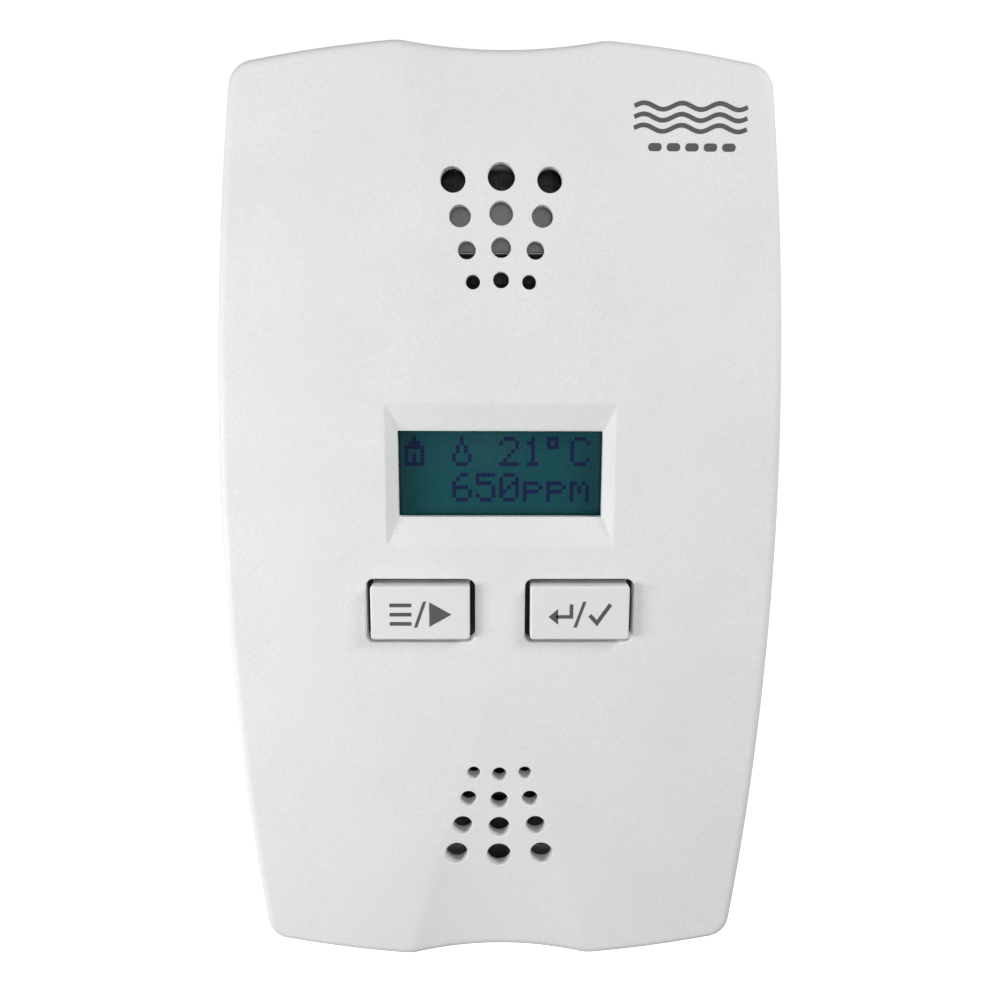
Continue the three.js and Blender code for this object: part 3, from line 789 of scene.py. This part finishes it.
def front_cover():
    surface = Surface()
    face_edge = surface.ring(cover_outline(EDGE_RADIUS + 0.3), face_y)
    steps = [(inset, below_face(down)) for inset, down in fillet(EDGE_RADIUS, 8)]
    rim = 0.25
    steps += [
        (0, -20),
        (0, -8),
        (0, REAR_Y - rim),
        (0.3 * rim, REAR_Y - 0.3 * rim),
        (rim, REAR_Y),
        (SIDE_WALL - rim, REAR_Y),
        (SIDE_WALL - 0.3 * rim, REAR_Y - 0.3 * rim),
        (SIDE_WALL, REAR_Y - rim),
        (SIDE_WALL, INNER_Y + 0.5),
        (SIDE_WALL + 0.15, INNER_Y + 0.15),
        (SIDE_WALL + 0.5, INNER_Y),
    ]
    loops = [(cover_outline(inset), depth) for inset, depth in steps]
    inner_edge = surface.rings(face_edge, loops)
    pairs = [vent_bore(surface, *hole) for hole in vent_holes()]
    pairs += [key_opening(surface, x) for x in (-BUTTON_X, BUTTON_X)]
    pairs.append(display_window(surface))
    surface.sheet(face_edge, [outer for outer, _ in pairs], face_y, 0.8)
    posts = [screw_post(surface, x, z) for x, z in POSTS]
    surface.sheet(inner_edge, [inner for _, inner in pairs] + posts, INNER_Y, 2.5)
    piece = surface.piece("cover_shell", 38)
    cuts = [(-4, 4, REAR_Y - 1.2, 1, CATCH.tip - 5, CATCH.tip + 1)]
    depths, tip = (HOOK.front - 1.4, HOOK.rear + 1.4), HOOK.top
    cuts += mirrored(HOOK.x, HOOK.half + HOOK.clearance, *depths, tip - 3.8, tip + 3)
    depths, tip = (CATCH.front - 0.6, CATCH.rear + 0.6), CATCH.tip
    cuts += mirrored(CATCH.x, CATCH.half + 1, *depths, tip - 0.7, tip + 0.7)
    combined(piece, boxes("cover_cuts", cuts), "DIFFERENCE", 38)
    return finished(piece, "housing_plastic", "front_cover")


# ---- marks on the cover: three air waves over a five-step scale ----


MARKS = Sizes(
    left=18.4,
    right=34.2,
    steps=48,
    wave_zs=(61.6, 60.15, 58.7),
    wave_length=5.3,
    swing=0.42,
    width=0.62,
    bar_left=21.4,
    bar_pitch=2.6,
    bar_z=56.2,
    bar=(1.9, 1.1),
)


def cover_marks():
    surface = Surface()

    def printed(shape):
        """A skin of ink over the face. Returns its front and rear loops."""
        near = surface.ring(shape, below_face(-0.02))
        far = surface.ring(shape, below_face(0.05))
        surface.bridge(near, far)
        return near, far

    left, right = MARKS.left, MARKS.right
    count = MARKS.steps
    xs = [left + (right - left) * i / count for i in range(count + 1)]
    for height in MARKS.wave_zs:
        turns = [2 * pi * (x - left) / MARKS.wave_length for x in xs]
        line = [(x, height + MARKS.swing * sin(turn)) for x, turn in zip(xs, turns)]
        for ring in printed(stroke(line, MARKS.width)):
            for i in range(count):
                surface.faces.append((ring[i], ring[i + 1], ring[-i - 2], ring[-i - 1]))
    for i in range(5):
        bar_x = MARKS.bar_left + MARKS.bar_pitch * i
        bar = rounded_rectangle(bar_x, MARKS.bar_z, *MARKS.bar, 0.5, 4, 2, 4)
        for ring in printed(bar):
            surface.cap(ring)
    return finished(surface.piece("cover_marks"), "ink")


# ---- buttons ----


def keycap(side, x):
    """A hollow cap with a stem that pushes the switch, and a flange behind the cover whose black is
    painted shade for the gap around the cap.
    """
    surface = Surface()
    width, height, front = KEYCAP.width, KEYCAP.height, KEYCAP_FRONT + 0.03
    wall, inner = KEYCAP.wall, KEYCAP_FRONT + KEYCAP.skin

    def loop(grow_x, grow_z, radius):
        return rounded_rectangle(x, BUTTON_Z, width + grow_x, height + grow_z, radius, 18, 10, 6)

    def block_loop(grow, radius):
        return loop(grow, grow, radius)

    face = surface.ring(block_loop(-1.0, 0.3), front)
    steps = []
    for inset, down in fillet(KEYCAP.edge):
        steps.append((block_loop(-2 * inset, 0.5 - inset), front + down))
    flange_x, flange_z = FLANGE.width - width, FLANGE.height - height
    steps += [
        (block_loop(0, 0.5), FLANGE.front - 0.15),
        (block_loop(0.3, 0.6), FLANGE.front),
        (loop(flange_x - 0.2, flange_z - 0.2, 0.5), FLANGE.front),
        (loop(flange_x, flange_z, 0.5), FLANGE.front + 0.12),
        (loop(flange_x, flange_z, 0.5), FLANGE.rear - 0.12),
        (loop(flange_x - 0.2, flange_z - 0.2, 0.5), FLANGE.rear),
        (block_loop(-2 * wall, 0.4), FLANGE.rear),
        (block_loop(-2 * wall, 0.4), inner),
    ]
    floor = surface.rings(face, steps)
    surface.sheet(face, [], front, 1.2)
    tip = span("right_keycap")[1].y
    stem = surface.ring(circle(x, BUTTON_Z, 2.3), inner)
    stem_steps = ((2, inner + 0.3), (2, tip - 0.2), (1.8, tip))
    stem_loops = [(circle(x, BUTTON_Z, radius), y) for radius, y in stem_steps]
    surface.cap(surface.rings(stem, stem_loops))
    surface.sheet(floor, [stem], inner, 1.5)
    piece = surface.piece(f"{side}_button_cap")
    finished(piece, "keycap_plastic", f"{side}_keycap", body=f"{side}_button")
    # The flange faces outside the cap's wall take the black, as painted shade in the gap around the
    # cap
    piece.data.materials.append(FINISHES["key_skirt"].material)
    for polygon in piece.data.polygons:
        across = abs(polygon.center.x / MM - x) - width / 2
        up = abs(polygon.center.z / MM - BUTTON_Z) - height / 2
        polygon.material_index = int(max(across, up) > 0.01)
    return piece


SLASH = [(-0.95, -2.05), (-0.45, -2.05), (0.95, 2.05), (0.45, 2.05)]


def menu_and_next():
    """Three bars, a slash and a triangle."""
    bars = [stroke([(-4.6, z), (-1.3, z)], 0.58) for z in (-1.45, 0, 1.45)]
    triangle = [(1.4, -1.95), (4.75, 0), (1.4, 1.95)]
    return [*bars, SLASH, triangle]


def enter_and_check():
    """A return arrow, a slash and a check mark."""
    shaft = stroke([(-1.3, 1.6), (-1.3, -0.35), (-3.6, -0.35)], 0.55)
    head = [(-4.75, -0.35), (-3.3, -1.6), (-3.3, 0.9)]
    check = stroke([(1.5, -0.1), (2.6, -1.35), (4.6, 1.6)], 0.6)
    return [shaft, head, SLASH, check]


def legend(side, x, shapes):
    placed = [[(x + px, BUTTON_Z - 0.2 + pz) for px, pz in shape] for shape in shapes]
    piece = prisms(f"{side}_button_legend", placed, KEYCAP_FRONT, KEYCAP_FRONT + 0.08)
    return finished(piece, "ink", body=f"{side}_button")


# ---- display ----

GLYPHS = {
    "house": "00100 01110 11111 10001 10101 10101 11111",
    "drop": "00100 00100 01010 01010 10001 10001 01110",
    "0": "01110 10001 10011 10101 11001 10001 01110",
    "1": "00100 01100 00100 00100 00100 00100 01110",
    "2": "01110 10001 00001 00010 00100 01000 11111",
    "5": "11111 10000 11110 00001 00001 10001 01110",
    "6": "00110 01000 10000 11110 10001 10001 01110",
    "degree": "11100 10100 11100 00000 00000 00000 00000",
    "C": "01110 10001 10000 10000 10000 10001 01110",
    "p": "00000 00000 11110 10001 11110 10000 10000",
    "m": "00000 00000 11010 10101 10101 10001 10001",
}
ROWS = {  # by the height of their top
    15.22: ("house", None, "drop", None, "2", "1", "degree", "C"),
    9.72: (None, None, "6", "5", "0", "p", "p", "m"),
}
DOT_PITCH = (0.6, 0.64)
DOT_GAP = 0.05
CELL_PITCH = 3.58
TEXT_LEFT = -14.45


def lit(glyph):
    """The line and column of every lit dot of a glyph."""
    lines = GLYPHS[glyph].split() if glyph else ()
    return [(i, j) for i, bits in enumerate(lines) for j, bit in enumerate(bits) if bit == "1"]


def display_dots():
    """The lit dots of an 8 by 2 character display, just proud of the glass."""
    front = span("lcd_glass")[0].y
    wide, tall = (pitch - DOT_GAP for pitch in DOT_PITCH)
    dots = []
    for top, glyphs in ROWS.items():
        for cell, glyph in enumerate(glyphs):
            for line, column in lit(glyph):
                x = TEXT_LEFT + cell * CELL_PITCH + column * DOT_PITCH[0]
                z = top - line * DOT_PITCH[1]
                dots.append([(x, z), (x, z - tall), (x + wide, z - tall), (x + wide, z)])
    piece = prisms("display_dots", dots, front - 0.02, front + 0.02)
    return finished(piece, "display_dots")


# ---- wall plate ----


def back_plate():
    surface = Surface()
    side, top, bottom = PLATE_INSETS
    radius = CORNER_RADIUS - 1

    def loop(grow):
        return outline(side + grow, top + grow, bottom + grow, max(radius - grow, 0.6))

    rear_edge = surface.ring(loop(0.3), 0)
    inner_edge = surface.rings(
        rear_edge,
        [
            (loop(0.08), -0.08),
            (loop(0), -0.3),
            (loop(0), PLATE_RIM_Y + 0.2),
            (loop(0.2), PLATE_RIM_Y),
            (loop(PLATE_RIM - 0.2), PLATE_RIM_Y),
            (loop(PLATE_RIM), PLATE_RIM_Y + 0.2),
            (loop(PLATE_RIM), PLATE_FLOOR - 0.3),
            (loop(PLATE_RIM + 0.3), PLATE_FLOOR),
        ],
    )

    def slot(z, width, height, corner, *steps):
        """A rounded opening on the middle line, as a function of how much it is grown."""
        return lambda grow: rounded_rectangle(
            0, z, width + 2 * grow, height + 2 * grow, corner + grow, *steps
        )

    openings = [slot(WIRING.z, WIRING.width, WIRING.height, 3, 18, 13, 8)]
    for z in (-BOX_SCREW_Z, BOX_SCREW_Z):
        openings.append(slot(z, 12, 4, 1.95, 6, 1, 8))
    for x, z in product((-29, 29), (-46, 46)):
        openings.append(lambda grow, x=x, z=z: circle(x, z, 2 + grow))
    rear_loops, front_loops = [], []
    for opening in openings:
        rear_loop = surface.ring(opening(0.25), 0)
        steps = [(opening(0.07), -0.07), (opening(0), -0.25), (opening(0), PLATE_FLOOR + 0.25)]
        steps += [(opening(0.07), PLATE_FLOOR + 0.07), (opening(0.25), PLATE_FLOOR)]
        rear_loops.append(rear_loop)
        front_loops.append(surface.rings(rear_loop, steps))
    surface.sheet(rear_edge, rear_loops, 0, 2.5)
    surface.sheet(inner_edge, front_loops, PLATE_FLOOR, 2.5)
    piece = surface.piece("wall_plate")
    additions = [
        (RIB_X, 0.8, PLATE_RIM_Y, PLATE_FLOOR + 0.3, -60, 59),
        (HOOK.x, HOOK.half, HOOK.front, HOOK.rear, HOOK.root, HOOK.top),
        (HOOK.x, HOOK.half - 0.1, HOOK.front + 0.4, -1, HOOK.root + 0.1, HOOK.root + 3),
        (CATCH.x, CATCH.half, CATCH.front, CATCH.rear, CATCH.tip, CATCH.root),
    ]
    for addition in additions:
        combined(piece, bevelled(boxes("addition", mirrored(*addition)), 0.2), "UNION")
    return finished(piece, "plate_plastic", "back_plate", body="base")


# ---- turned components ----


def round_part(node):
    """Middle x and z, radius, and lowest and highest y of a round CAD node that lies along Y."""
    low, high = span(node)
    return (low.x + high.x) / 2, (low.z + high.z) / 2, (high.x - low.x) / 2, low.y, high.y


def cross_cut(piece, x, z, reach, half, y0, y1):
    """Cuts a cross of two bars, each reach to either side of the middle and half to either side."""
    for half_x, half_z in ((reach, half), (half, reach)):
        bar = [(x - half_x, x + half_x, y0, y1, z - half_z, z + half_z)]
        combined(piece, boxes("bar", bar), "DIFFERENCE")


def board_screw(node):
    """A pan-head screw whose thread is a stack of ridges."""
    x, z, _, tip, top = round_part(node)
    under = span("main_board")[1].y
    profile = [(0, top), (1.2, top - 0.02), (1.8, top - 0.2), (2.3, top - 0.6)]
    profile += [(2.6, under + 0.35), (2.6, under + 0.02), (1.1, under + 0.02)]
    pitch, y = 0.9, under - 1.8
    while y - pitch > tip + 0.9:
        for radius, share in ((0.95, 0), (1.1, 0.4), (1.1, 0.5), (0.95, 0.85)):
            profile.append((radius, y - pitch * share))
        y -= pitch
    profile += [(0.9, tip + 0.8), (0, tip)]
    piece = turned(node + "_turned", (x, z), profile)
    cross_cut(piece, x, z, 1.35, 0.28, top - 0.9, top + 0.5)
    return finished(piece, "screw_steel", node)


def capacitor(node):
    """An aluminium can with a rolled bead and a rounded, scored end."""
    x, z, radius, seat, end = round_part(node)
    profile = [(0, end - 0.12), (radius - 0.75, end - 0.12), (radius - 0.6, end)]
    profile += [(radius - 0.4, end - 0.03), (radius - 0.12, end - 0.18), (radius, end - 0.5)]
    turns = [pi * i / 6 for i in range(7)]
    profile += [(radius - 0.42 * sin(t), seat + 2.2 + 0.55 * cos(t)) for t in turns]
    profile += [(radius, seat + 0.9), (radius - 0.1, seat + 0.45), (radius - 0.3, seat + 0.35)]
    profile += [(radius - 0.3, seat + 0.02), (0, seat + 0.02)]
    piece = turned(node + "_can", (x, z), profile)
    cross_cut(piece, x, z, 2.4, 0.12, end - 0.22, end + 0.5)
    return finished(piece, "capacitor_aluminium", node)


def buzzer():
    x, z, radius, front, seat = round_part("buzzer")
    profile = [(0, front + 2.4), (1.1, front + 2.4), (1.1, front + 0.3), (1.4, front)]
    profile += [(2.4, front), (2.5, front + 0.15), (radius - 0.5, front + 0.15)]
    profile += [(radius - 0.1, front + 0.3), (radius, front + 0.7), (radius, seat - 0.5)]
    profile += [(radius - 0.2, seat - 0.02), (0, seat - 0.02)]
    return finished(turned("buzzer_case", (x, z), profile), "black_plastic", "buzzer")


def voc_sensor():
    x, z, radius, front, seat = round_part("voc_sensor_can")
    profile = [(0, front), (radius - 0.7, front), (radius - 0.3, front + 0.12)]
    profile += [(radius - 0.06, front + 0.4), (radius, front + 0.8)]
    profile += [(radius, seat - 0.02), (0, seat - 0.02)]
    piece = turned("voc_sensor_cap", (x, z), profile)
    hole = [(0, front - 1), (0.5, front - 1), (0.5, front + 0.5), (0, front + 0.5)]
    for i in range(7):
        away = 2 if i else 0
        place = (x + away * cos(i * pi / 3), z + away * sin(i * pi / 3))
        combined(piece, turned("hole", place, hole, 24), "DIFFERENCE")
    finished(piece, "bezel_steel", "voc_sensor_can")
    x, z, radius, front, seat = round_part("voc_sensor_base")
    profile = [(0, front), (radius - 0.2, front), (radius, front + 0.2)]
    profile += [(radius, seat - 0.02), (0, seat - 0.02)]
    socket = turned("voc_sensor_socket", (x, z), profile)
    finished(socket, "black_plastic", "voc_sensor_base")


def sensor_ledge():
    """The thin pale ledge along the lower edge of the chamber; its pale colour is a painted
    highlight.
    """
    low, high = span("co2_ledge")
    piece = boxes("co2_lip_highlight", [(low.x, high.x, low.y, high.y - 0.02, high.z - 0.16, high.z)])
    return finished(bevelled(piece, 0.03), "white_plastic", "co2_ledge")


def terminal_screw(node):
    """A small slotted screw, standing upright in the plug."""
    low, high = span(node)
    x, y, radius = (low.x + high.x) / 2, (low.y + high.y) / 2, (high.x - low.x) / 2
    profile = [(0, high.z), (radius - 0.25, high.z), (radius - 0.05, high.z - 0.12)]
    profile += [(radius, high.z - 0.3), (radius, low.z), (0, low.z)]
    piece = turned(node + "_head", (x, y), profile, 40, upright=True)
    slot = [(x - 2, x + 2, y - 0.22, y + 0.22, high.z - 0.5, high.z + 1)]
    combined(piece, boxes("slot", slot), "DIFFERENCE")
    return finished(piece, "terminal_brass", node)


def plunger(side):
    node = f"{side}_switch_plunger"
    x, z, radius, front, seat = round_part(node)
    profile = [(0, front), (radius - 0.25, front), (radius, front + 0.2)]
    profile += [(radius, seat), (0, seat)]
    piece = turned(f"{side}_plunger_pin", (x, z), profile, 40)
    return finished(piece, "black_plastic", node, body=f"{side}_plunger")


# ---- small parts soldered to the boards ----


def chips():
    """Rows of chip resistors and capacitors on the main board, with their solder ends."""
    low, high = span("main_board")
    bodies, ends = [], []
    rear_places = [(-6 + 3 * i, 8 - 3.2 * (i % 2)) for i in range(5)]
    rear_places += [(-8 + 3.4 * i, -44 - 2.8 * (i % 3)) for i in range(7)]
    rear_places += [(20 + 2.8 * (i % 2), -46 - 2.6 * i) for i in range(4)]
    rear_places += [(-14 + 3 * i, 38 + 2.8 * (i % 2)) for i in range(9)]
    front_places = [(-10 + 2.9 * i, -38.5 + 1.9 * (i % 2)) for i in range(3)]
    front_places += [(7.5 + 2.9 * i, -36 - 2.2 * (i % 2)) for i in range(6)]
    for places, surface_y, out in ((rear_places, high.y, 1), (front_places, low.y, -1)):
        for x, z in places:
            y0, y1 = sorted((surface_y + out * 0.02, surface_y + out * 0.6))
            bodies.append((x - 0.5, x + 0.5, y0, y1, z - 0.4, z + 0.4))
            for sx in (-1, 1):
                x0, x1 = sorted((x + sx * 0.52, x + sx * 0.82))
                ends.append((x0, x1, y0, y1, z - 0.42, z + 0.42))
    finished(bevelled(boxes("chip_bodies", bodies), 0.06), "black_plastic")
    finished(bevelled(boxes("chip_ends", ends), 0.08), "solder")


def solder_joints():
    """Solder cones where the through-hole parts come out on the board's front face."""
    face = span("main_board")[0].y
    terminal_pins = [(5.08 * (i - 2.5), 10.3) for i in range(6)]
    relay_pins = [(-19.5 + across, -30.5 + up) for across in (-5, 5) for up in (-7, 0, 7)]
    capacitor_pins = [(10.5, -16), (13.5, -16), (20.5, -16), (23.5, -16)]
    turn = Matrix.Rotation(radians(90), 4, "X")
    built = bmesh.new()
    for x, z in terminal_pins + relay_pins + capacitor_pins:
        move = Matrix.Translation(Vector((x, face - 0.47, z)) * MM)
        bmesh.ops.create_cone(
            built,
            cap_ends=True,
            segments=20,
            radius1=1.05 * MM,
            radius2=0.35 * MM,
            depth=0.9 * MM,
            matrix=move @ turn,
        )
    piece = new_piece("solder_joints", built, 40)
    return finished(bevelled(piece, 0.12), "solder")


def controller_legs():
    """Gull-wing legs on the four sides of the microcontroller."""
    low, high = span("microcontroller")
    legs = []
    for i in range(9):
        shift = 1 + i
        foot = (high.y - 0.25, high.y - 0.02)
        for x0, x1 in ((low.x - 0.9, low.x + 0.02), (high.x - 0.02, high.x + 0.9)):
            legs.append((x0, x1, *foot, low.z + shift - 0.15, low.z + shift + 0.15))
        for z0, z1 in ((low.z - 0.9, low.z + 0.02), (high.z - 0.02, high.z + 0.9)):
            legs.append((low.x + shift - 0.15, low.x + shift + 0.15, *foot, z0, z1))
    return finished(bevelled(boxes("controller_legs", legs), 0.05), "solder")


# ---- pieces that keep their CAD shape, with rounded edges ----

ROUNDED = {
    "main_board": ("dark_board", 0.08),
    "left_switch_body": ("black_plastic", 0.15),
    "right_switch_body": ("black_plastic", 0.15),
    "left_lcd_spacer": ("white_plastic", 0.1),
    "right_lcd_spacer": ("white_plastic", 0.1),
    "lcd_bezel": ("bezel_steel", 0.12),
    "lcd_glass": ("lcd_glass", 0.1),
    "lcd_backlight": ("diffuser_plastic", 0.15),
    "lcd_board": ("green_board", 0.08),
    "lcd_header": ("black_plastic", 0.12),
    "co2_board": ("dark_board", 0.08),
    "co2_chamber": ("grey_plastic", 0.05),
    "co2_membrane": ("white_plastic", 0.08),
    # The lamp's lighter grey is painted light, making up for its shade behind the vents
    "co2_lamp": ("lamp_housing", 0.15),
    "co2_header": ("black_plastic", 0.12),
    "humidity_sensor": ("black_plastic", 0.1),
    "microcontroller": ("black_plastic", 0.08),
    "crystal": ("bezel_steel", 0.3),
    "relay": ("relay_plastic", 0.3),
    "inductor": ("ferrite", 0.2),
    "regulator": ("black_plastic", 0.12),
    "fuse": ("black_plastic", 0.25),
    "terminal_header": ("terminal_plastic", 0.15),
    "terminal_plug": ("terminal_plastic", 0.15),
}


# ---- the assembly ----

front_cover()
cover_marks()
back_plate()
for side, x in (("left", -BUTTON_X), ("right", BUTTON_X)):
    keycap(side, x)
    plunger(side)
legend("left", -BUTTON_X, menu_and_next())
legend("right", BUTTON_X, enter_and_check())
display_dots()
for i in range(1, 5):
    board_screw(f"board_screw_{i}")
for i in range(1, 7):
    terminal_screw(f"terminal_screw_{i}")
for node in ("left_capacitor", "right_capacitor"):
    capacitor(node)
buzzer()
voc_sensor()
sensor_ledge()
for node, (finish, width) in ROUNDED.items():
    finished(refined(node, width), finish, node)
chips()
solder_joints()
controller_legs()


# ---- floor, light and camera ----

CAMERA = Sizes(at=(-1.6, FACE_Y - 132, 30.3), down=10.38, right=0.67, tilt=0.2, lens=32.4)
FLOOR_Z = -130
FLOOR_REACH = 4000


def floor():
    """A plain pale floor. It lights nothing: the surround and the lamps light the object."""
    built = bmesh.new()
    for across, ahead in ((-1, -1), (1, -1), (1, 1), (-1, 1)):
        built.verts.new(Vector((across * FLOOR_REACH, ahead * FLOOR_REACH, FLOOR_Z)) * MM)
    built.faces.new(list(built.verts))
    piece = new_piece("floor", built)
    finish = moulded("floor_paper", (0.92, 0.92, 0.92), (0.8, 0.9), 3.0, 0.01, 0.01)
    finish.set(Emission_Color=(1, 1, 1), Emission_Strength=0.85)
    piece.data.materials.append(finish.material)
    piece.visible_diffuse = False
    piece.visible_glossy = False
    piece.visible_shadow = False


def world(strength):
    """An even white surround, seen as plain white, that lights the object by strength."""
    made = bpy.data.worlds.new("studio")
    made.use_nodes = True
    bpy.context.scene.world = made
    nodes, links = made.node_tree.nodes, made.node_tree.links
    background = nodes["Background"]
    background.inputs["Color"].default_value = (1, 1, 1, 1)
    path = nodes.new("ShaderNodeLightPath")
    level = nodes.new("ShaderNodeMapRange")
    level.inputs["To Min"].default_value = strength
    level.inputs["To Max"].default_value = 1.02
    links.new(path.outputs["Is Camera Ray"], level.inputs["Value"])
    links.new(level.outputs["Result"], background.inputs["Strength"])


def area_light(name, at, towards, size, power):
    data = bpy.data.lights.new(name, "AREA")
    data.shape = "DISK"
    data.size = size * MM
    data.energy = power
    light = bpy.data.objects.new(name, data)
    light.location = Vector(at) * MM
    direction = (Vector(towards) - Vector(at)).normalized()
    light.rotation_euler = direction.to_track_quat("-Z", "Y").to_euler()
    light.visible_camera = False
    bpy.context.scene.collection.objects.link(light)
    return light


def camera():
    data = bpy.data.cameras.new("camera")
    data.sensor_width = 36
    data.lens = CAMERA.lens
    data.clip_start = 0.005
    made = bpy.data.objects.new("camera", data)
    down, right, tilt = map(radians, (CAMERA.down, CAMERA.right, CAMERA.tilt))
    turns = ((tilt, "Y"), (down, "X"), (right, "Z"))
    turn_y, turn_x, turn_z = [Matrix.Rotation(angle, 3, axis) for angle, axis in turns]
    to_camera = turn_y @ turn_x @ turn_z
    across, ahead, up = to_camera
    place = Matrix.Translation(Vector(CAMERA.at) * MM)
    made.matrix_world = place @ Matrix((across, up, -ahead)).transposed().to_4x4()
    bpy.context.scene.collection.objects.link(made)
    bpy.context.scene.camera = made


floor()
world(0.2)
area_light("front_lamp", (0, -430, 30), (0, -30, 0), 90, 0.41).visible_glossy = False
area_light("left_lamp", (-284, -171, -33), (0, -30, 10), 120, 0.72)
area_light("right_lamp", (304, -174, 214), (0, -30, 10), 120, 0.775)
area_light("rear_lamp", (-120, 420, 160), (0, 0, 0), 200, 1.1)
camera()
bpy.context.scene.view_settings.view_transform = "Standard"
